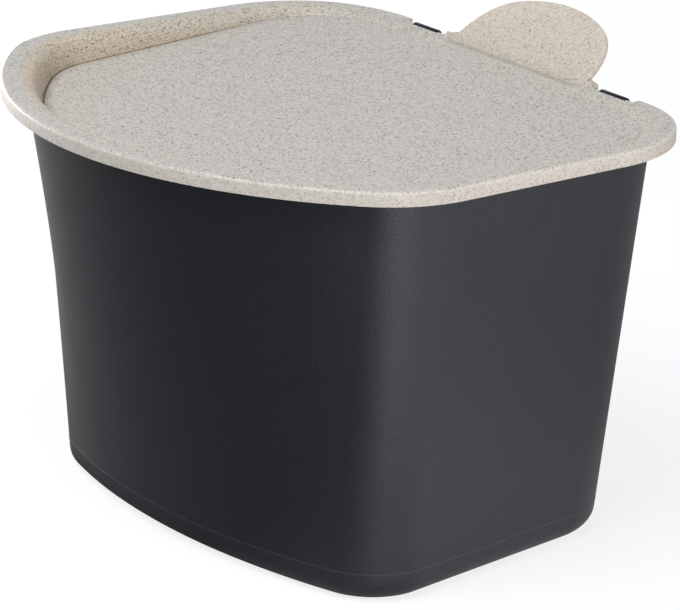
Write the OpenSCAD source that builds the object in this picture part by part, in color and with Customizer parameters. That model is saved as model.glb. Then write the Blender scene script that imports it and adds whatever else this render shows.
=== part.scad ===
// Bow-fronted kitchen caddy for food waste, with a hinged lid.
// Units are millimetres. +Z is up, the bowed front faces -Y and the hinge runs along X at +Y.
// The origin is on the surface that the caddy stands on, in the middle of its base.

/* [Lid outline] */
// Width across the widest part of the lid
lid_w = 235.2; // [200:0.2:260]
// From the origin forward to the middle of the bowed front edge
lid_front = 109.6; // [98:0.2:125]
// From the origin back to the straight rear edge
lid_rear = 80.6; // [72:0.2:95]
// Radius of the bowed front edge
lid_bow_r = 147.5; // [130:0.5:220]
// Radius of the two front corners
lid_front_r = 42.3; // [25:0.1:45]
// Radius of the two rear corners
lid_rear_r = 46.9; // [30:0.1:50]
// Angle by which the two sides close in towards the rear
lid_taper = 2.2; // [0:0.1:6]

/* [Lid section] */
// Height of the lid's flat band above the ground
rim_z = 150; // [120:0.5:190]
// Thickness of the band and of the sunken plate
lid_t = 2; // [1.6:0.1:2.6]
// Height of the skirt that hangs from the band's outer edge
skirt_h = 5; // [4.4:0.05:8]
// Thickness of the skirt
skirt_t = 2; // [1.4:0.1:2.4]
// Rounding of the band's outer edge
edge_r = 1.5; // [0.8:0.1:1.8]
// Width of the flat band around the sunken plate
band_w = 6; // [5:0.1:7]
// Distance from the outer edge to where the roll-over ends and the steep wall begins
roll_w = 12.2; // [12:0.1:14]
// Depth of the roll-over below the band
roll_d = 1.8; // [1:0.1:2.2]
// Distance from the outer edge to the foot of the steep wall around the plate
foot_w = 16; // [15:0.1:20]
// Depth of the sunken plate below the band at the front
plate_deep = 12.5; // [9:0.1:14]
// Depth of the sunken plate below the band at the rear
plate_shallow = 2.2; // [1.9:0.1:3]

/* [Thumb tab] */
// Width of the tab at its neck
tab_w = 74.6; // [56:0.2:76]
// Length of the tab from its root to its tip, along its slope
tab_l = 31.5; // [27:0.5:36]
// Lean of the tab above the horizontal
tab_lean = 35; // [28:1:42]
// Thickness of the tab
tab_t = 2.6; // [2:0.1:3.4]
// Distance from the lid's rear edge forward to the tab's root
tab_root = 6; // [5.5:0.1:12]
// Radius of the tab's two upper corners
tab_corner_r = 26; // [16:0.5:30]

/* [Container] */
// Width across the widest part of the base
base_w = 187.6; // [165:0.2:195]
// From the origin forward to the middle of the base's front edge
base_front = 67.2; // [58:0.2:80]
// From the origin back to the base's rear edge
base_rear = 70.3; // [60:0.1:72]
// Radius of the base's bowed front edge
base_bow_r = 297.2; // [200:0.2:320]
// Radius of the base's two front corners
base_front_r = 23.4; // [18:0.1:30]
// Radius of the base's two rear corners
base_rear_r = 32; // [22:0.1:36]
// Angle by which the base's two sides close in towards the rear
base_taper = 11.4; // [0:0.1:12]
// Rounding between the wall and the base
foot_r = 7; // [4:0.1:10]
// Thickness of the wall and of the floor
wall_t = 2.2; // [1.8:0.1:2.4]
// Distance that the lid's edge stands out past the top of the wall
overhang = 8.5; // [7.6:0.1:9]
// Depth of the mouth below the lid's band
mouth_drop = 3.9; // [3.4:0.1:4.4]
// Thickness of the flange around the mouth
flange_t = 1.8; // [1.6:0.1:2.4]
// Clearance between the flange and the lid's skirt
flange_gap = 0.8; // [0.5:0.1:1.2]

/* [Hinge] */
// Distance from the middle of the lid to the middle of each hinge
hinge_x = 53.7; // [52:0.1:60]
// Length of each notch in the lid's rear edge
notch_l = 23.6; // [20:0.1:25]
// Depth of each notch, from the rear edge forward
notch_d = 4.9; // [4.8:0.1:6]
// Length of each hinge knuckle
knuckle_l = 13.4; // [10:0.1:15]
// Outer radius of each hinge knuckle
knuckle_r = 2; // [1.9:0.05:2.1]
// Radius of each hinge pin
pin_r = 1.2; // [0.9:0.05:1.3]
// Running clearance between a pin and its knuckle, on the radius
pin_gap = 0.05; // [0.02:0.01:0.1]
// Distance from the lid's rear edge forward to the hinge axis
axis_inset = 2.6; // [2.5:0.05:2.8]
// Depth of the hinge axis below the band's top
axis_drop = 2.6; // [2.5:0.05:2.8]
// Distance from a notch's end to the rib that holds the pin
rib_gap = 2; // [1:0.1:3]
// Thickness of each rib that holds a pin
rib_t = 3; // [2:0.1:4]
// Height of the gusset under each knuckle
gusset_h = 14; // [8:0.5:20]

/* [Hidden] */

$fn = 48;
arc_steps = 9;                                   // chords on each corner of a plan
slice = 0.01;                                    // thickness of a slice that a hull spans
cut = 1;                                         // how far a cutting shape runs past the solid
tab_fn = 96;                                     // segments of the tab's corners
fillet_step = 22.5;                              // degrees between slices of a rounded edge

fit_gap = 0.3;                                   // between pieces that must not touch
seat_gap = 0.1;                                  // between the closed lid and the mouth
wall_top = rim_z - mouth_drop;                   // the closed lid sits over this
seat_z = wall_top + seat_gap;                    // underside of the lid's seat
wall_rear = lid_rear - overhang;                 // outer face of the rear wall at the top
axis_y = lid_rear - axis_inset;
axis_z = rim_z - axis_drop;
mouth_in = overhang + wall_t;                    // inset of the wall's inner face at the top
pan_clear = 0.5;                                 // between the sunken pan and the mouth
pan_in = mouth_in + pan_clear;                   // inset of the pan's outside at the top
wall_share = 0.7;                                // of lid_t, thickness of the steep wall at its foot
pan_foot_w = foot_w - wall_share * lid_t;        // inset of the pan's outside at the foot
seat_land = 1.5;                                 // how far the seat reaches past the flange's inside
seat_w = overhang - seat_land;                   // inset of the seat's outer edge
plate_front_y = foot_w - lid_front;              // foot of the plate at the front
plate_rear_y = lid_rear - foot_w;                // foot of the plate at the rear
plate_lean = atan((plate_deep - plate_shallow) / (plate_rear_y - plate_front_y));
rib_d = 2 * axis_inset + pin_r / 2;              // how far forward each rib reaches
pin_l = notch_l + 2 * (rib_gap + rib_t);

// One arc from angle a0 to a1 about centre c, counted from the front (-Y) towards +X
function arc(c, r, a0, a1) =
    [for (i = [0 : arc_steps]) let (a = a0 + (a1 - a0) * i / arc_steps) c + r * [sin(a), -cos(a)]];

// Right half of a bow-fronted plan, from the middle of the front round to the rear
function half_plan(w, front, rear, bow_r, front_r, rear_r, taper, inset) =
    let (
        bow_c = [0, bow_r - front],
        reach = bow_r - front_r,
        turn = asin((w / 2 - front_r) / reach),
        front_c = bow_c + reach * [sin(turn), -cos(turn)],
        side = 90 + taper,
        rear_y = rear - rear_r,
        rear_x = front_c.x + (front_r - rear_r + (rear_y - front_c.y) * cos(side)) / sin(side)
    )
    concat(
        arc(bow_c, bow_r - inset, 0, turn),
        arc(front_c, front_r - inset, turn, side),
        arc([rear_x, rear_y], rear_r - inset, side, 180)
    );

// The whole plan: the right half and its mirror image
function whole_plan(half) =
    concat(half, [for (i = [len(half) - 1 : -1 : 0]) [-half[i].x, half[i].y]]);

module lid_plan(inset) {
    polygon(whole_plan(half_plan(lid_w, lid_front, lid_rear, lid_bow_r, lid_front_r,
                                 lid_rear_r, lid_taper, inset)));
}

module base_plan(inset) {
    polygon(whole_plan(half_plan(base_w, base_front, base_rear, base_bow_r, base_front_r,
                                 base_rear_r, base_taper, inset)));
}

module at_each_end(length) {
    for (side = [-1, 1])
        translate([side * length, 0, 0]) children();
}

// Tapered body between the base and the mouth, shrunk inwards by t all over
module bucket(t) {
    r = foot_r - t;
    hull() {
        for (a = [0 : fillet_step : 90])
            translate([0, 0, t + r * (1 - cos(a))])
                linear_extrude(slice) base_plan(t + r * (1 - sin(a)));
        translate([0, 0, wall_top - slice]) linear_extrude(slice) lid_plan(overhang + t);
    }
}

// Flange that carries the lid round the front and sides; the flat back has none
module flange() {
    translate([0, 0, wall_top - flange_t])
        intersection() {
            linear_extrude(flange_t) lid_plan(skirt_t + flange_gap);
            translate([-lid_w, wall_rear - 2 * lid_w, 0])
                cube([2 * lid_w, 2 * lid_w, flange_t]);
        }
}

module container() {
    color([0.17, 0.175, 0.19])
        difference() {
            union() {
                bucket(0);
                flange();
            }
            bucket(wall_t);
            translate([0, 0, wall_top - flange_t])
                linear_extrude(flange_t + cut) lid_plan(mouth_in);
        }
}

// Barrel on an arm that stands out from the rear wall, with a gusset below it
module hinge_knuckle(x) {
    arm_z = wall_top - fit_gap;
    notch_y = lid_rear - notch_d;
    color([0.12, 0.12, 0.13])
        translate([x - knuckle_l / 2, 0, 0])
            difference() {
                union() {
                    translate([0, axis_y, axis_z]) rotate([0, 90, 0])
                        cylinder(r = knuckle_r, h = knuckle_l);
                    rotate([90, 0, 90])
                        linear_extrude(knuckle_l)
                            polygon([
                                [wall_rear, arm_z],
                                [notch_y - knuckle_r, arm_z],
                                [notch_y, axis_z],
                                [axis_y, axis_z],
                                [axis_y, axis_z - knuckle_r],
                                [wall_rear, arm_z - gusset_h]
                            ]);
                }
                translate([-cut, axis_y, axis_z]) rotate([0, 90, 0])
                    cylinder(r = pin_r + pin_gap, h = knuckle_l + 2 * cut);
            }
}

// Rod that crosses one notch and is held in the lid's ribs at both ends
module pin_rod() {
    translate([-pin_l / 2, axis_y, axis_z]) rotate([0, 90, 0]) cylinder(r = pin_r, h = pin_l);
}

module hinge_pin(x) {
    color([0.78, 0.76, 0.72]) translate([x, 0, 0]) pin_rod();
}

// Band and skirt: a shallow upturned tray with a rounded outer edge and a hollow rim
module lid_cap() {
    difference() {
        hull() {
            translate([0, 0, rim_z - skirt_h]) linear_extrude(slice) lid_plan(0);
            for (a = [0 : fillet_step : 90])
                translate([0, 0, rim_z - edge_r * (1 - sin(a)) - slice])
                    linear_extrude(slice) lid_plan(edge_r * (1 - cos(a)));
        }
        translate([0, 0, rim_z - skirt_h - cut])
            linear_extrude(skirt_h + cut - (rim_z - seat_z)) lid_plan(skirt_t);
        translate([0, 0, seat_z - cut])
            linear_extrude(rim_z - lid_t - seat_z + cut)
                difference() {
                    lid_plan(skirt_t);
                    lid_plan(seat_w);
                }
    }
}

// Everything above a plane that falls gently from the rear to the front, t below the plate
module above_plate(t) {
    translate([-lid_w / 2, plate_front_y, rim_z - plate_deep - t / cos(plate_lean)])
        rotate([plate_lean, 0, 0])
            translate([0, -lid_front, 0]) cube([lid_w, 3 * lid_front, lid_front]);
}

// Underside of the steep wall and the plate
module lid_pan() {
    intersection() {
        hull() {
            translate([0, 0, seat_z]) linear_extrude(slice) lid_plan(pan_in);
            translate([0, 0, rim_z - plate_deep - lid_t]) linear_extrude(slice) lid_plan(pan_foot_w);
        }
        above_plate(lid_t);
    }
}

// Hollow above the plate: a gentle roll-over, then a steep wall
module lid_recess() {
    intersection() {
        union() {
            hull() {
                translate([0, 0, rim_z]) linear_extrude(cut) lid_plan(band_w);
                translate([0, 0, rim_z - roll_d]) linear_extrude(slice) lid_plan(roll_w);
            }
            hull() {
                translate([0, 0, rim_z - roll_d]) linear_extrude(slice) lid_plan(roll_w);
                translate([0, 0, rim_z - plate_deep]) linear_extrude(slice) lid_plan(foot_w);
            }
        }
        above_plate(0);
    }
}

// Puts its children on the tab's sloping face, with the tab's root along X
module on_tab() {
    translate([0, lid_rear - tab_root, rim_z - plate_shallow]) rotate([tab_lean, 0, 0]) children();
}

// Gap in the band in front of the tab, so that the plate runs straight on into it
module tab_bay() {
    intersection() {
        above_plate(0);
        on_tab() translate([-tab_w / 2, -tab_l, 0]) cube([tab_w, 2 * tab_l, tab_l]);
    }
}

// Tongue with a round top that leans back over the rear edge
module thumb_tab() {
    top_x = tab_w / 2 - tab_corner_r;
    on_tab()
        translate([0, 0, -tab_t]) linear_extrude(tab_t)
            intersection() {
                union() {
                    square([tab_w, 2 * (tab_l - tab_corner_r)], center = true);
                    square([2 * top_x, 2 * tab_l], center = true);
                    at_each_end(top_x)
                        translate([0, tab_l - tab_corner_r]) circle(tab_corner_r, $fn = tab_fn);
                }
                translate([-tab_w / 2, 0]) square([tab_w, tab_l]);
            }
}

// Openings in the rear edge that leave room for the knuckles
module notches() {
    at_each_end(hinge_x)
        translate([-notch_l / 2, lid_rear - notch_d, rim_z - skirt_h - cut])
            cube([notch_l, notch_d + cut, skirt_h + 2 * cut]);
}

// Ribs under the band, one past each end of each notch
module pin_ribs() {
    at_each_end(hinge_x)
        at_each_end(notch_l / 2 + rib_gap + rib_t / 2)
            translate([-rib_t / 2, lid_rear - rib_d, rim_z - skirt_h])
                cube([rib_t, rib_d - skirt_t / 2, skirt_h - lid_t / 2]);
}

module lid() {
    color([0.78, 0.76, 0.72])
        difference() {
            union() {
                difference() {
                    union() {
                        lid_cap();
                        lid_pan();
                    }
                    lid_recess();
                    tab_bay();
                    notches();
                }
                thumb_tab();
                pin_ribs();
            }
            at_each_end(hinge_x) pin_rod();
        }
}

container();
hinge_knuckle(-hinge_x);  // hinge_knuckle_left
hinge_knuckle(hinge_x);  // hinge_knuckle_right
lid();
hinge_pin(-hinge_x);  // hinge_pin_left
hinge_pin(hinge_x);  // hinge_pin_right
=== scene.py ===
import math

import bmesh
import bpy
from mathutils import Matrix, Vector
from mathutils.kdtree import KDTree


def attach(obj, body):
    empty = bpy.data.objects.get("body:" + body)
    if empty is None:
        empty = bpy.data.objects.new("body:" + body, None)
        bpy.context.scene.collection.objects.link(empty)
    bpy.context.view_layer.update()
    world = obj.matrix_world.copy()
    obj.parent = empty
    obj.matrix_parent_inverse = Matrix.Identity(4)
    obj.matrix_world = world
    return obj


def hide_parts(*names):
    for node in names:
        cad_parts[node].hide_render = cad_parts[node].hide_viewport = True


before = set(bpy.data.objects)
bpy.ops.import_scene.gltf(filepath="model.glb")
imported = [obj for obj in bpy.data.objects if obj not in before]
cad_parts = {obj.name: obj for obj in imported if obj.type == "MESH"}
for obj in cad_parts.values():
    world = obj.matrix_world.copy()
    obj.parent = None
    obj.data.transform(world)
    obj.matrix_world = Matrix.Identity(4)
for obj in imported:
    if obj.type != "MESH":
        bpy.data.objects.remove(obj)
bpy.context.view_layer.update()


# ---------------------------------------------------------------- lid
# The lid is one moulding of pale plastic filled with ground plant husk: a thin shell with a turned-down
# skirt, a flat band, and a wall that rolls over into a sunken sloping plate. It is traced as half an
# outline, mirrored, filled, drawn inwards ring by ring, cut off at the plate and given its thickness.
mm = 0.001


def leave_edit():
    """Goes back to object mode."""
    if bpy.context.object and bpy.context.object.mode != "OBJECT":
        bpy.ops.object.mode_set(mode="OBJECT")


def only(piece):
    """Makes one piece the active and only selected one, in object mode."""
    leave_edit()
    bpy.ops.object.select_all(action="DESELECT")
    bpy.context.view_layer.objects.active = piece
    piece.select_set(True)


def edit(piece):
    """Opens one piece in edit mode."""
    only(piece)
    bpy.ops.object.mode_set(mode="EDIT")


def lone_vertex(name, spot):
    """A new piece in edit mode, with one selected vertex."""
    leave_edit()
    bpy.ops.object.select_all(action="DESELECT")
    bpy.ops.mesh.primitive_circle_add(vertices=3, radius=mm, location=(0, 0, 0))
    piece = bpy.context.object
    piece.name = name
    piece.data.name = name
    bpy.ops.object.mode_set(mode="EDIT")
    bpy.ops.mesh.select_mode(type="VERT")
    bpy.ops.mesh.select_all(action="SELECT")
    bpy.ops.mesh.merge(type="CENTER")
    bpy.ops.transform.translate(value=spot)
    return piece


def sweep(centre, degrees, steps):
    """Carries the selected vertex round a centre, anticlockwise seen from above."""
    bpy.ops.mesh.spin(steps=steps, angle=-math.radians(degrees), center=centre, axis=(0, 0, 1))


def draw_on(x, y):
    """Draws a straight edge on from the selected vertex."""
    bpy.ops.mesh.extrude_region_move(TRANSFORM_OT_translate={"value": (x, y, 0)})


def lift(height):
    """Extrudes what is selected straight up, or down where the height is below 0."""
    bpy.ops.mesh.extrude_region_move(TRANSFORM_OT_translate={"value": (0, 0, height)})


def draw_in(width, rise=0):
    """Insets the selected faces, and raises or sinks them."""
    bpy.ops.mesh.inset(thickness=width, depth=rise, use_even_offset=True)


def face_up():
    """Turns the selected flat face so that it looks up."""
    mesh = bmesh.from_edit_mesh(bpy.context.object.data)
    mesh.normal_update()
    for face in mesh.faces:
        if face.select and face.normal.z < 0:
            face.normal_flip()
    bmesh.update_edit_mesh(bpy.context.object.data)


def face_out():
    """Selects all of the open piece and turns its faces outwards."""
    bpy.ops.mesh.select_all(action="SELECT")
    bpy.ops.mesh.normals_make_consistent(inside=False)


def pick_faces(test):
    """Selects the faces whose centre and normal pass a test, in edit mode."""
    bpy.ops.mesh.select_mode(type="FACE")
    bpy.ops.mesh.select_all(action="DESELECT")
    mesh = bmesh.from_edit_mesh(bpy.context.object.data)
    mesh.normal_update()
    for face in mesh.faces:
        if test(face.calc_center_median(), face.normal):
            face.select_set(True)
    mesh.select_flush(True)
    bmesh.update_edit_mesh(bpy.context.object.data)


def apply_modifier(piece, kind, **settings):
    """Adds one modifier, sets it, and applies it."""
    only(piece)
    modifier = piece.modifiers.new(kind.lower(), kind)
    for key, value in settings.items():
        setattr(modifier, key, value)
    bpy.ops.object.modifier_apply(modifier=modifier.name)


def mirror_and_fill(piece):
    """Mirrors half an outline across the middle of the caddy and fills it with one face."""
    weld = 0.01 * mm
    apply_modifier(piece, "MIRROR", use_axis=(True, False, False), use_clip=True, merge_threshold=weld)
    edit(piece)
    bpy.ops.mesh.select_all(action="SELECT")
    bpy.ops.mesh.remove_doubles(threshold=weld)
    bpy.ops.mesh.edge_face_add()
    face_up()


def plan_face(name, z, half_w, front, rear, bow_r, front_r, rear_r, taper, trim=0):
    """A flat face with the caddy's bow-fronted outline, drawn in by trim all round.

    half_w, front and rear are its reaches from the middle, bow_r, front_r and rear_r its radii, and taper
    is how many degrees its sides lean in towards the rear.
    """
    bow_steps, corner_steps, rear_steps = 40, 28, 14
    reach = bow_r - front_r
    turn = math.degrees(math.asin((half_w - front_r) / reach))
    bow_y = bow_r - front
    front_x = reach * math.sin(math.radians(turn))
    front_y = bow_y - reach * math.cos(math.radians(turn))
    side = math.radians(90 + taper)
    rear_y = rear - rear_r
    rear_x = front_x + (front_r - rear_r + (rear_y - front_y) * math.cos(side)) / math.sin(side)
    out_front, out_rear = front_r - trim, rear_r - trim
    piece = lone_vertex(name, (0, trim - front, z))
    sweep((0, bow_y, z), turn, bow_steps)
    sweep((front_x, front_y, z), 90 + taper - turn, corner_steps)
    draw_on(rear_x + out_rear * math.sin(side) - front_x - out_front * math.sin(side),
            rear_y - out_rear * math.cos(side) - front_y + out_front * math.cos(side))
    sweep((rear_x, rear_y, z), 90 - taper, corner_steps)
    for _ in range(rear_steps):
        draw_on(-rear_x / rear_steps, 0)
    mirror_and_fill(piece)
    return piece


def block(name, low, high):
    """A closed box between two corners."""
    leave_edit()
    bpy.ops.object.select_all(action="DESELECT")
    bpy.ops.mesh.primitive_cube_add(size=1, location=(0, 0, 0))
    piece = bpy.context.object
    piece.name = name
    piece.data.name = name
    bpy.ops.object.mode_set(mode="EDIT")
    bpy.ops.mesh.select_all(action="SELECT")
    bpy.ops.transform.resize(value=[b - a for a, b in zip(low, high)])
    bpy.ops.transform.translate(value=[(a + b) / 2 for a, b in zip(low, high)])
    leave_edit()
    return piece


def join(piece, *others):
    """Joins other pieces into the first one."""
    only(piece)
    for other in others:
        other.select_set(True)
    bpy.ops.object.join()


def clamp(share):
    """Keeps a share between 0 and 1."""
    return min(1, max(0, share))


def eased(share):
    """A share between 0 and 1 that starts and ends softly."""
    share = clamp(share)
    return share * share * (3 - 2 * share)


lid_plan = dict(half_w=117.56 * mm, front=109.6 * mm, rear=80.6 * mm, bow_r=147.5 * mm,
                front_r=42.3 * mm, rear_r=46.9 * mm, taper=2.2)
lid_rear = lid_plan["rear"]
rim_z = 150 * mm
skirt_h = 5 * mm
edge_r = 1.2 * mm
edge_steps = 6
lid = plan_face("lid_shell", rim_z - skirt_h, **lid_plan)
lift(skirt_h - edge_r)
face_up()
for step in range(edge_steps):
    a, b = (math.radians(90 * count / edge_steps) for count in (step, step + 1))
    draw_in(edge_r * (math.cos(a) - math.cos(b)), edge_r * (math.sin(b) - math.sin(a)))

# The flat band, as the widths of its rings in mm
for width in (0.7, 0.8, 0.9, 1.0, 1.1):
    draw_in(width * mm)

# The wall as (inset from the outer edge, depth below the band) in mm; the plate's plane then cuts it off
wall_line = [(6, 0), (6.8, 0.06), (7.6, 0.2), (8.4, 0.42), (9.2, 0.72), (10, 1.1), (10.8, 1.6),
             (11.5, 2.2), (12.1, 3.0), (12.6, 4.0), (13.1, 5.3), (13.6, 6.9), (14.1, 8.8), (14.6, 11),
             (15.1, 13.6), (15.5, 16)]
for (in_a, deep_a), (in_b, deep_b) in zip(wall_line, wall_line[1:]):
    draw_in((in_b - in_a) * mm, (deep_a - deep_b) * mm)
plate_front_y = -93.6 * mm
plate_rear_y = 64.6 * mm
plate_deep = 12.5 * mm
plate_shallow = 2.2 * mm
plate_slope = (plate_deep - plate_shallow) / (plate_rear_y - plate_front_y)


def plate_z(y):
    """The height of the sloping plate."""
    return rim_z - plate_deep + plate_slope * (y - plate_front_y)


band_w = 5.5 * mm
touch = 0.01 * mm
pick_faces(lambda centre, normal: centre.z < rim_z - skirt_h - mm
           or normal.z > 0.05 and centre.z < rim_z - touch and centre.y < lid_rear - band_w)
bpy.ops.mesh.bisect(plane_co=(0, plate_front_y, plate_z(plate_front_y)),
                    plane_no=(0, -plate_slope, 1), use_fill=True, clear_inner=True)

# A fine shallow groove runs round the foot of the wall, as rings of (width, rise) in mm and a painted shade
# for the crease. Its points are kept, as they are coloured with that painted shade later.
plate_middle = 40 * mm
pick_faces(lambda centre, normal: abs(centre.x) < plate_middle and abs(centre.y) < plate_middle
           and centre.z > rim_z - skirt_h - 9 * mm and abs(centre.z - plate_z(centre.y)) < 0.1 * mm
           and abs(centre.z - rim_z + skirt_h) > 0.2 * mm)
groove_points = KDTree(4000)
groove_painted_shades = []
for width, rise, shade in ((0.1, 0, 0.7), (0.2, -0.15, 0.15), (0.35, 0, 0.15), (0.5, 0.15, 0.75),
                           (1.2, 0, 0.87), (2.2, 0, 1.0)):
    draw_in(width * mm, rise * mm)
    for vertex in bmesh.from_edit_mesh(lid.data).verts:
        if vertex.select:
            groove_points.insert((vertex.co.x, vertex.co.y, 0), len(groove_painted_shades))
            groove_painted_shades.append(shade)
groove_points.balance()

# The underside of the skirt is still closed by one face, which is opened
pick_faces(lambda centre, normal: normal.z < -0.9 and abs(centre.y) < 60 * mm)
bpy.ops.mesh.delete(type="ONLY_FACE")

# In front of the tab the band gives way, so that the plate runs straight on into the tab's slope
tab_y = 74 * mm
tab_z = rim_z - 3 * mm
tab_lean = math.radians(35)
bay_w = 38 * mm
bay_side = 3 * mm
bay_deep = 4 * mm
under_tab = 0.12 * mm
mesh = bmesh.from_edit_mesh(lid.data)
for vertex in mesh.verts:
    x, y, z = abs(vertex.co.x), vertex.co.y, vertex.co.z
    if x < bay_w + bay_side and y > plate_rear_y - bay_deep and z > rim_z - bay_deep:
        floor_z = max(plate_z(y), tab_z + (y - tab_y) * math.tan(tab_lean) - under_tab)
        moved = z + (floor_z - z) * eased((bay_w + bay_side - x) / (4 * mm))
        vertex.co.z = min(z, moved) if z > plate_z(y) + touch else moved

# Beside the tab the rear band dips a little towards the plate
dip_deep = 1.0 * mm
dip_end_x = 102 * mm
dip_front_y = 40 * mm
for vertex in mesh.verts:
    x, y, z = abs(vertex.co.x), vertex.co.y, vertex.co.z
    if y > dip_front_y and z > plate_z(y):
        dip = eased(clamp((dip_end_x - x) / (30 * mm)) * clamp((x - bay_w) / bay_side))
        dip *= clamp((z - plate_z(y)) / (2 * mm)) * clamp((y - dip_front_y) / (20 * mm))
        vertex.co.z -= dip_deep * dip
bmesh.update_edit_mesh(lid.data)
face_out()
shell_t = 1.2 * mm
apply_modifier(lid, "SOLIDIFY", thickness=shell_t, offset=-1, use_even_offset=False)

# Two notches in the rear edge leave room for the hinge knuckles
hinge_x = 53.7 * mm
notch_l = 23.6 * mm
notch_d = 4.9 * mm
past_edge = 9 * mm
for side in (-1, 1):
    cutter = block("notch", (side * hinge_x - notch_l / 2, lid_rear - notch_d, rim_z - past_edge),
                   (side * hinge_x + notch_l / 2, lid_rear + past_edge, rim_z + past_edge))
    apply_modifier(lid, "BOOLEAN", operation="DIFFERENCE", solver="EXACT", use_self=True,
                   object=cutter)
    bpy.data.objects.remove(cutter)

# Ribs under the band, one past each end of each notch, hold the pins
rib_gap = 3.5 * mm
rib_t = 3 * mm
rib_front = 5.8 * mm
ribs = []
for side in (-1, 1):
    for end in (-1, 1):
        x = side * hinge_x + end * (notch_l / 2 + rib_gap)
        rib = block("rib", (x - rib_t / 2, lid_rear - rib_front, rim_z - skirt_h),
                    (x + rib_t / 2, lid_rear - mm, rim_z - mm))
        apply_modifier(rib, "BEVEL", width=0.3 * mm, segments=2)
        ribs.append(rib)

# The tab is a tongue, traced flat from the middle of its tip: the bowed tip, the round shoulder, a straight
# stretch, the neck's hollow and the root. It is thickened and rounded, and its root is swept onto the plate.
tip_y = 32.2 * mm
tip_r = 64 * mm
shoulder = (14.4 * mm, 7.6 * mm, 0)
neck_r = 4.9 * mm
neck_lean = math.radians(10)
root_y = 1.9 * mm
root_steps = 12
tab_t = 2.4 * mm
tab_round = 1.05 * mm
fillet_r = 6 * mm


def last_drawn():
    """Where the selected vertex of the outline stands."""
    mesh = bmesh.from_edit_mesh(bpy.context.object.data)
    return next(vertex for vertex in mesh.verts if vertex.select).co.copy()


tab = lone_vertex("tab", (0, tip_y, 0))
sweep((0, tip_y - tip_r, 0), -20, 10)
sweep(shoulder, -60, 16)
draw_on(0.7 * mm, -3.9 * mm)
neck = last_drawn()
sweep((neck.x + neck_r * math.cos(neck_lean), neck.y + neck_r * math.sin(neck_lean), 0), 76, 10)
foot = last_drawn()
draw_on(0, root_y - foot.y)
for _ in range(root_steps):
    draw_on(-foot.x / root_steps, 0)
mirror_and_fill(tab)
lift(-tab_t)
face_out()
bpy.ops.mesh.select_mode(type="EDGE")
bpy.ops.mesh.select_all(action="DESELECT")
past_root = root_y + 0.05 * mm
for edge in bmesh.from_edit_mesh(tab.data).edges:
    flat = abs(edge.verts[0].co.z - edge.verts[1].co.z) < touch
    sharp = len(edge.link_faces) == 2 and edge.calc_face_angle(0) > 0.9
    if flat and sharp and max(vertex.co.y for vertex in edge.verts) > past_root:
        edge.select_set(True)
bmesh.update_edit_mesh(tab.data)
bpy.ops.mesh.bevel(offset=tab_round, segments=5, affect="EDGES", clamp_overlap=True)
pick_faces(lambda centre, normal: normal.y < -0.9 and centre.y < past_root)
turn_down = tab_lean - math.atan(plate_slope)
bpy.ops.mesh.spin(steps=8, angle=-turn_down, center=(0, root_y, fillet_r), axis=(1, 0, 0))
leave_edit()
tab.data.transform(Matrix.Translation((0, tab_y, tab_z)) @ Matrix.Rotation(tab_lean, 4, "X"))

join(lid, tab, *ribs)
edit(lid)
bpy.ops.mesh.select_all(action="SELECT")
weld = 0.004 * mm
bpy.ops.mesh.remove_doubles(threshold=weld)
bpy.ops.mesh.dissolve_degenerate(threshold=weld)
leave_edit()
lid.data.validate()
bpy.ops.object.shade_smooth_by_angle(angle=math.radians(38))
lid.name = "lid_shell"
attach(lid, "lid")
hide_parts("lid")

# Light and shade painted into the colour of each point: painted shade darkens the groove at the foot of the
# wall, the tab gets a painted warm tint with a soft painted shade line where it bends up, and the wall round
# the plate a painted warm tint for the light thrown about in the recess. The fourth value says how strong
# the flecks are.
plate_centre_y = -10 * mm
mesh = bmesh.new()
mesh.from_mesh(lid.data)
mesh.normal_update()
painted_light_and_fleck_tones = lid.data.attributes.new("painted_light_and_fleck_tone", "FLOAT_COLOR", "POINT")
for vertex in mesh.verts:
    x, y, z = vertex.co
    wall_h = rim_z - plate_z(y)
    outward = vertex.normal.x * x + vertex.normal.y * (y - plate_centre_y)
    painted_light_and_fleck_tone = (1, 1, 1, 0.85 if vertex.normal.z > 0.7 else 0.5)
    # Painted shade in the crease at the foot of the wall, darker where the recess is deeper
    _, ring_point, gap = groove_points.find((x, y, 0))
    if gap < 0.02 * mm:
        painted_crease_shade = (1 - groove_painted_shades[ring_point]) * clamp((wall_h - 2 * mm) / (4 * mm))
        painted_light_and_fleck_tone = (1 - painted_crease_shade, 1 - 1.1 * painted_crease_shade, 1 - 1.25 * painted_crease_shade, 0.85)
    # On the tab, a painted warm tint as it rises and a painted soft shade line where it bends up from the
    # plate
    elif abs(x) < bay_w and y > 70 * mm:
        line = 0.3 * math.exp(-((y - tab_y - mm) / (1.3 * mm)) ** 2)
        rise = clamp((y - tab_y) / (3 * mm))
        painted_light_and_fleck_tone = (1 + 0.06 * rise - line, 1 - line, 1 - 0.055 * rise - 1.15 * line, 0.62)
    # On the wall round the plate, a painted warm tint for the light thrown about in the recess; flecks show
    # more there
    elif outward < 0 < vertex.normal.z and z < rim_z - 0.05 * mm and y < 72 * mm:
        turn = clamp((1 - vertex.normal.z) * 25) * clamp(wall_h / (6 * mm))
        painted_light_and_fleck_tone = (1 + 0.06 * turn, 1 - 0.02 * turn, 1 - 0.13 * turn, 0.85 + 0.15 * turn)
    painted_light_and_fleck_tones.data[vertex.index].color = painted_light_and_fleck_tone
mesh.free()


def node_tools(tree):
    """Empties a node tree and gives a short way to link and a short way to add nodes in it."""
    tree.nodes.clear()

    def add(kind, **settings):
        node = tree.nodes.new("ShaderNode" + kind)
        for key, value in settings.items():
            if key in node.inputs:
                node.inputs[key].default_value = value
            else:
                setattr(node, key, value)
        return node

    return tree.links.new, add


def new_finish(name):
    """A new material with its node tools."""
    material = bpy.data.materials.new(name)
    material.use_nodes = True
    return material, *node_tools(material.node_tree)


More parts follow.
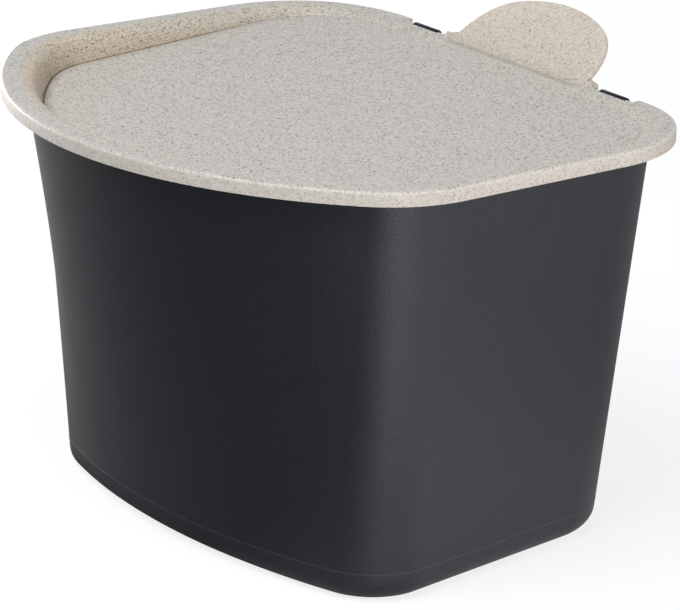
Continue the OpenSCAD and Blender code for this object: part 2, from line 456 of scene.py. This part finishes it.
def maths(link, add, operation, first, second, kind="Math"):
    """One math node; each side is another node's output or a plain value."""
    node = add(kind, operation=operation)
    for socket, side in zip(node.inputs, (first, second)):
        if isinstance(side, bpy.types.NodeSocket):
            link(side, socket)
        else:
            socket.default_value = side
    result = "Value" if kind == "Math" or operation in ("DOT_PRODUCT", "LENGTH") else "Vector"
    return node.outputs[result]


def ranged(link, add, value, start=0.0, end=1.0, low=0.0, high=1.0):
    """Carries a value from one range, start to end, into another, low to high."""
    node = add("MapRange", **{"From Min": start, "From Max": end, "To Min": low, "To Max": high})
    link(value, node.inputs["Value"])
    return node.outputs["Result"]


def noise(link, add, place, **settings):
    """A noise node that reads a place."""
    node = add("TexNoise", **settings)
    link(place, node.inputs["Vector"])
    return node


def mottled(link, add, cloud, dark, light, start=0.3, end=0.7):
    """A colour that wanders between two shades with a noise."""
    tint = add("ValToRGB")
    low, high = tint.color_ramp.elements
    low.position, low.color = start, dark
    high.position, high.color = end, light
    link(cloud.outputs["Fac"], tint.inputs["Fac"])
    return tint.outputs["Color"]


def dress(piece, plastic):
    """Gives a piece its one material."""
    piece.data.materials.clear()
    piece.data.materials.append(plastic)


def husk_flecks(link, add, place, size, share, radius, squeeze):
    """Short husks, at most one to a cell, each lying its own way: how dark a point is, 0 where none lies."""
    cells = add("TexVoronoi", Scale=size, Randomness=1.0)
    link(place, cells.inputs["Vector"])
    chance = add("TexWhiteNoise", noise_dimensions="3D")
    link(cells.outputs["Position"], chance.inputs["Vector"])
    local = maths(link, add, "SUBTRACT", place, cells.outputs["Position"], "VectorMath")
    heading = maths(link, add, "SUBTRACT", chance.outputs["Color"], (0.5, 0.5, 0.5), "VectorMath")
    unit = add("VectorMath", operation="NORMALIZE")
    link(heading, unit.inputs[0])
    along = maths(link, add, "DOT_PRODUCT", local, unit.outputs["Vector"], "VectorMath")
    part = add("VectorMath", operation="SCALE")
    link(unit.outputs["Vector"], part.inputs[0])
    link(maths(link, add, "MULTIPLY", along, squeeze), part.inputs["Scale"])
    across = maths(link, add, "SUBTRACT", local, part.outputs["Vector"], "VectorMath")
    far = maths(link, add, "LENGTH", across, (0, 0, 0), "VectorMath")
    husk = ranged(link, add, far, start=radius, end=0.6 * radius)
    chosen = maths(link, add, "LESS_THAN", chance.outputs["Value"], share)
    pick = add("SeparateColor")
    link(chance.outputs["Color"], pick.inputs["Color"])
    dark = ranged(link, add, pick.outputs["Green"], low=0.3, high=1.0)
    return maths(link, add, "MULTIPLY", maths(link, add, "MULTIPLY", husk, chosen), dark)


husk_plastic, link, add = new_finish("husk_plastic")
place = add("TexCoord").outputs["Object"]
wobble = noise(link, add, place, Scale=1100.0, Detail=2.0)
flat = add("Mapping", Scale=(1, 1, 1.7))
link(place, flat.inputs["Vector"])
shift = add("VectorMath", operation="MULTIPLY_ADD")
shift.inputs[1].default_value = (0.0005, 0.0005, 0.0005)
link(wobble.outputs["Color"], shift.inputs[0])
link(flat.outputs["Vector"], shift.inputs[2])
cloud = noise(link, add, place, Scale=420.0, Detail=4.0, Roughness=0.6)
colour = mottled(link, add, cloud, (0.595, 0.546, 0.492, 1), (0.675, 0.624, 0.568, 1))
# The point colours carry painted light and shade; their alpha sets how strong the flecks are
painted_light_and_fleck_tone = add("Attribute", attribute_name="painted_light_and_fleck_tone")

# Four lots of husk, as (cells to a metre, share of cells filled, radius, squeeze, colour)
for size, share, radius, squeeze, shade in (
        (800.0, 0.9, 0.0003, 0.65, (0.8, 0.76, 0.71, 1)),
        (520.0, 0.6, 0.00045, 0.7, (0.15, 0.135, 0.115, 1)),
        (700.0, 0.95, 0.00036, 0.72, (0.21, 0.19, 0.165, 1)),
        (1000.0, 0.98, 0.00027, 0.7, (0.27, 0.245, 0.215, 1))):
    flecks = husk_flecks(link, add, shift.outputs["Vector"], size, share, radius, squeeze)
    blend = add("Mix", data_type="RGBA")
    link(maths(link, add, "MULTIPLY", flecks, painted_light_and_fleck_tone.outputs["Alpha"]), blend.inputs["Factor"])
    link(colour, blend.inputs["A"])
    blend.inputs["B"].default_value = shade
    colour = blend.outputs["Result"]
# The husk colour is multiplied by the painted light and shade of each point
husk_with_painted_light = add("Mix", data_type="RGBA", blend_type="MULTIPLY")
husk_with_painted_light.inputs["Factor"].default_value = 1
link(colour, husk_with_painted_light.inputs["A"])
link(painted_light_and_fleck_tone.outputs["Color"], husk_with_painted_light.inputs["B"])
grain = noise(link, add, place, Scale=1600.0, Detail=2.0)
raised = add("Bump", Strength=0.12, Distance=0.0002)
link(grain.outputs["Fac"], raised.inputs["Height"])
body = add("BsdfPrincipled")
body.inputs["Specular IOR Level"].default_value = 0.25
link(husk_with_painted_light.outputs["Result"], body.inputs["Base Color"])
link(ranged(link, add, grain.outputs["Fac"], low=0.38, high=0.54), body.inputs["Roughness"])
link(raised.outputs["Normal"], body.inputs["Normal"])
link(body.outputs["BSDF"], add("OutputMaterial").inputs["Surface"])
dress(lid, husk_plastic)


# ---------------------------------------------------------------- container
# The container is one moulding of black matte plastic, tapered, with a rounded foot, a thin witness line
# just above it, and a flange under the lid round the front and sides. Its two outlines are bridged.
container = plan_face("container_shell", 0, half_w=93.8 * mm, front=67.2 * mm, rear=70.3 * mm,
                      bow_r=297.2 * mm, front_r=23.4 * mm, rear_r=32 * mm, taper=11.4)
mouth_z = rim_z - 3.9 * mm
mouth = plan_face("mouth", mouth_z, trim=8.5 * mm, **lid_plan)
bpy.ops.mesh.delete(type="ONLY_FACE")
join(container, mouth)
edit(container)
bpy.ops.mesh.select_mode(type="EDGE")
bpy.ops.mesh.select_all(action="SELECT")
bpy.ops.mesh.bridge_edge_loops()
face_out()
foot_r = 7.4 * mm
pick_faces(lambda centre, normal: abs(normal.z) > 0.9 and centre.z < mm)
bpy.ops.mesh.region_to_loop()
bpy.ops.mesh.bevel(offset=foot_r, segments=10, affect="EDGES", clamp_overlap=False)

# The witness line is a narrow strip of the wall, raised a hair's breadth and marked for its own colour
witness_z = 10.2 * mm
witness_h = 0.45 * mm
witness_t = 0.06 * mm
edit(container)
for height in (witness_z, witness_z + witness_h, 40 * mm, 75 * mm, 110 * mm):
    bpy.ops.mesh.select_all(action="SELECT")
    bpy.ops.mesh.bisect(plane_co=(0, 0, height), plane_no=(0, 0, 1))
pick_faces(lambda centre, normal: witness_z < centre.z < witness_z + witness_h and abs(normal.z) < 0.5)
bpy.ops.mesh.extrude_region_shrink_fatten(TRANSFORM_OT_shrink_fatten={"value": witness_t})
leave_edit()
witness = container.data.attributes.new("witness", "FLOAT", "POINT")
for vertex in container.data.vertices:
    witness.data[vertex.index].value = float(vertex.select)
container_t = 2.2 * mm
apply_modifier(container, "SOLIDIFY", thickness=container_t, offset=-1, use_even_offset=True)

# The flange is a flat ring round the mouth, cut off short of the rear
flange_t = 1.8 * mm
flange_w = 5.9 * mm
flange_end_y = 72.1 * mm
flange = plan_face("flange", mouth_z - flange_t, trim=2.8 * mm, **lid_plan)
draw_in(flange_w)
bpy.ops.mesh.delete(type="ONLY_FACE")
bpy.ops.mesh.select_all(action="SELECT")
lift(flange_t)
face_out()
bpy.ops.mesh.bisect(plane_co=(0, flange_end_y, 0), plane_no=(0, 1, 0), clear_outer=True, use_fill=True)
leave_edit()
join(container, flange)
bpy.ops.object.shade_smooth_by_angle(angle=math.radians(40))
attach(container, "container")
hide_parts("container")

black_plastic, link, add = new_finish("black_plastic")
place = add("TexCoord").outputs["Object"]
grain = noise(link, add, place, Scale=1400.0, Detail=3.0, Roughness=0.6)
cloud = noise(link, add, place, Scale=60.0, Detail=3.0)
blend = add("Mix", data_type="RGBA")
link(add("Attribute", attribute_name="witness").outputs["Fac"], blend.inputs["Factor"])
link(mottled(link, add, grain, (0.003, 0.0036, 0.0062, 1), (0.013, 0.0142, 0.019, 1)), blend.inputs["A"])
blend.inputs["B"].default_value = (0.034, 0.036, 0.041, 1)
raised = add("Bump", Strength=0.45, Distance=0.0002)
link(grain.outputs["Fac"], raised.inputs["Height"])
body = add("BsdfPrincipled")
body.inputs["Specular IOR Level"].default_value = 0.68
body.inputs["Specular Tint"].default_value = (0.91, 0.93, 1, 1)
link(blend.outputs["Result"], body.inputs["Base Color"])
link(ranged(link, add, cloud.outputs["Fac"], low=0.38, high=0.46), body.inputs["Roughness"])
link(raised.outputs["Normal"], body.inputs["Normal"])
link(body.outputs["BSDF"], add("OutputMaterial").inputs["Surface"])
dress(container, black_plastic)


# ---------------------------------------------------------------- hinge knuckles and pins
# A knuckle is a small black barrel on an arm that is moulded on the container's rear wall. A plain pale pin
# runs through it into the lid's ribs. Each is the frame's own shape with its edges softened.
def softened(node, width):
    """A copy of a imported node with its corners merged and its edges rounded."""
    leave_edit()
    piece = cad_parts[node].copy()
    piece.data = piece.data.copy()
    bpy.context.scene.collection.objects.link(piece)
    piece.name = node + "_finished"
    for key in list(piece.keys()):
        del piece[key]
    piece.parent = None
    edit(piece)
    bpy.ops.mesh.select_all(action="SELECT")
    bpy.ops.mesh.remove_doubles(threshold=0.001 * mm)
    bpy.ops.mesh.dissolve_limited(angle_limit=math.radians(2))
    leave_edit()
    apply_modifier(piece, "BEVEL", width=width, segments=3, limit_method="ANGLE",
                   angle_limit=math.radians(40))
    bpy.ops.object.shade_smooth_by_angle(angle=math.radians(35))
    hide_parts(node)
    return piece


# The knuckles are of the container's plastic, but duller than its walls
knuckle_plastic = black_plastic.copy()
knuckle_plastic.name = "knuckle_plastic"
body = next(node for node in knuckle_plastic.node_tree.nodes if node.type == "BSDF_PRINCIPLED")
body.inputs["Specular IOR Level"].default_value = 0.08

pin_plastic, link, add = new_finish("pin_plastic")
cloud = noise(link, add, add("TexCoord").outputs["Object"], Scale=900.0, Detail=2.0)
body = add("BsdfPrincipled", Roughness=0.45)
link(mottled(link, add, cloud, (0.60, 0.56, 0.51, 1), (0.68, 0.64, 0.59, 1), start=0, end=1),
     body.inputs["Base Color"])
link(body.outputs["BSDF"], add("OutputMaterial").inputs["Surface"])

for side in ("left", "right"):
    knuckle = softened("hinge_knuckle_" + side, 0.35 * mm)
    dress(knuckle, knuckle_plastic)
    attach(knuckle, "container")
    pin = softened("hinge_pin_" + side, 0.25 * mm)
    dress(pin, pin_plastic)
    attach(pin, "lid")


# ---------------------------------------------------------------- floor, light and camera
# A plain white floor keeps the caddy's soft shadow, in a white surround and under soft lamps. Seen in
# reflections, the floor carries a painted reflection, white towards the right and grey in front, so that the
# front wall stays the darkest.
bpy.ops.object.select_all(action="DESELECT")
bpy.ops.mesh.primitive_plane_add(size=12, location=(0, 0, -0.02 * mm))
floor = bpy.context.object
floor.name = "floor"
floor_white, link, add = new_finish("floor_white")
place = add("TexCoord").outputs["Object"]
seen = add("LightPath")
# Painted reflection: glossy rays see the floor white towards the right and grey in front
rightward = maths(link, add, "DOT_PRODUCT", place, (0.669, 0.743, 0), "VectorMath")
rearward = maths(link, add, "DOT_PRODUCT", place, (0, 1, 0), "VectorMath")
share = maths(link, add, "MULTIPLY", ranged(link, add, rightward, start=-0.04, end=0.14),
              ranged(link, add, rearward, start=-0.02, end=0.16, low=1.0, high=0.22))
painted_reflection_share = maths(link, add, "MULTIPLY", seen.outputs["Is Glossy Ray"], share)
plain = maths(link, add, "MAXIMUM", seen.outputs["Is Camera Ray"], painted_reflection_share)
plain = maths(link, add, "MAXIMUM", plain, seen.outputs["Is Transmission Ray"])
grey = add("BsdfDiffuse", Color=(0.175, 0.175, 0.175, 1))
shadow = add("BsdfDiffuse", Color=(0.25, 0.25, 0.25, 1))
glow = add("Emission", Color=(1, 1, 1, 1), Strength=0.805)
white = add("AddShader")
link(shadow.outputs["BSDF"], white.inputs[0])
link(glow.outputs["Emission"], white.inputs[1])
choose = add("MixShader")
link(plain, choose.inputs["Fac"])
link(grey.outputs["BSDF"], choose.inputs[1])
link(white.outputs["Shader"], choose.inputs[2])
link(choose.outputs["Shader"], add("OutputMaterial").inputs["Surface"])
dress(floor, floor_white)

world = bpy.data.worlds.new("surround")
world.use_nodes = True
bpy.context.scene.world = world
link, add = node_tools(world.node_tree)
seen = add("LightPath")
plain = maths(link, add, "MAXIMUM", seen.outputs["Is Camera Ray"], seen.outputs["Is Glossy Ray"])
plain = maths(link, add, "MAXIMUM", plain, seen.outputs["Is Transmission Ray"])
soft = add("Background", Color=(0.95, 0.98, 1, 1), Strength=0.17)
white = add("Background", Color=(1, 1, 1, 1), Strength=1.0)
choose = add("MixShader")
link(plain, choose.inputs["Fac"])
link(soft.outputs["Background"], choose.inputs[1])
link(white.outputs["Background"], choose.inputs[2])
link(choose.outputs["Shader"], add("OutputWorld").inputs["Surface"])


def lamp(name, azimuth, elevation, far, width, height, power, colour):
    """A soft lamp aimed at the caddy; azimuth 0 is in front and 90 to its right."""
    light = bpy.data.lights.new(name, "AREA")
    light.shape = "RECTANGLE"
    light.size = width
    light.size_y = height
    light.energy = power
    light.color = colour
    post = bpy.data.objects.new(name, light)
    bpy.context.scene.collection.objects.link(post)
    a, e = math.radians(azimuth), math.radians(elevation)
    out = Vector((math.sin(a) * math.cos(e), -math.cos(a) * math.cos(e), math.sin(e)))
    post.location = Vector((0, 0, 90 * mm)) + out * far
    post.rotation_mode = "QUATERNION"
    post.rotation_quaternion = out.to_track_quat("Z", "Y")
    post.visible_camera = False


lamp("key", 88, 12, 1.6, 0.5, 0.9, 2.4, (1, 0.965, 0.92))
lamp("back", 130, 1, 1.2, 0.8, 0.3, 7, (1, 0.97, 0.94))
lamp("edge", 66, -1, 1.2, 0.26, 0.14, 4.5, (1, 0.98, 0.96))
lamp("top", 15, 57, 1.8, 1.4, 1.4, 29, (0.92, 0.965, 1))
lamp("side", -93, -0.6, 1.3, 1.2, 0.15, 25, (1, 0.98, 0.95))

camera_data = bpy.data.cameras.new("camera")
camera = bpy.data.objects.new("camera", camera_data)
bpy.context.scene.collection.objects.link(camera)
camera_place = (1.5271087, -1.1151779, 0.6710711)
right = Vector((0.58588597, 0.81024618, 0.0154516))
up = Vector((-0.25328082, 0.16496819, 0.95322312))
back = Vector((0.76979637, -0.56239365, 0.30187236))
turned = Matrix((right, up, back)).transposed().to_4x4()
camera.matrix_world = Matrix.Translation(camera_place) @ turned
camera_data.lens = 302.787
camera_data.sensor_width = 36
camera_data.sensor_fit = "HORIZONTAL"
camera_data.shift_x = 0.0064455
camera_data.shift_y = 0.0007974
camera_data.clip_start = 0.05
camera_data.clip_end = 30
bpy.context.scene.camera = camera
bpy.context.scene.view_settings.view_transform = "Standard"
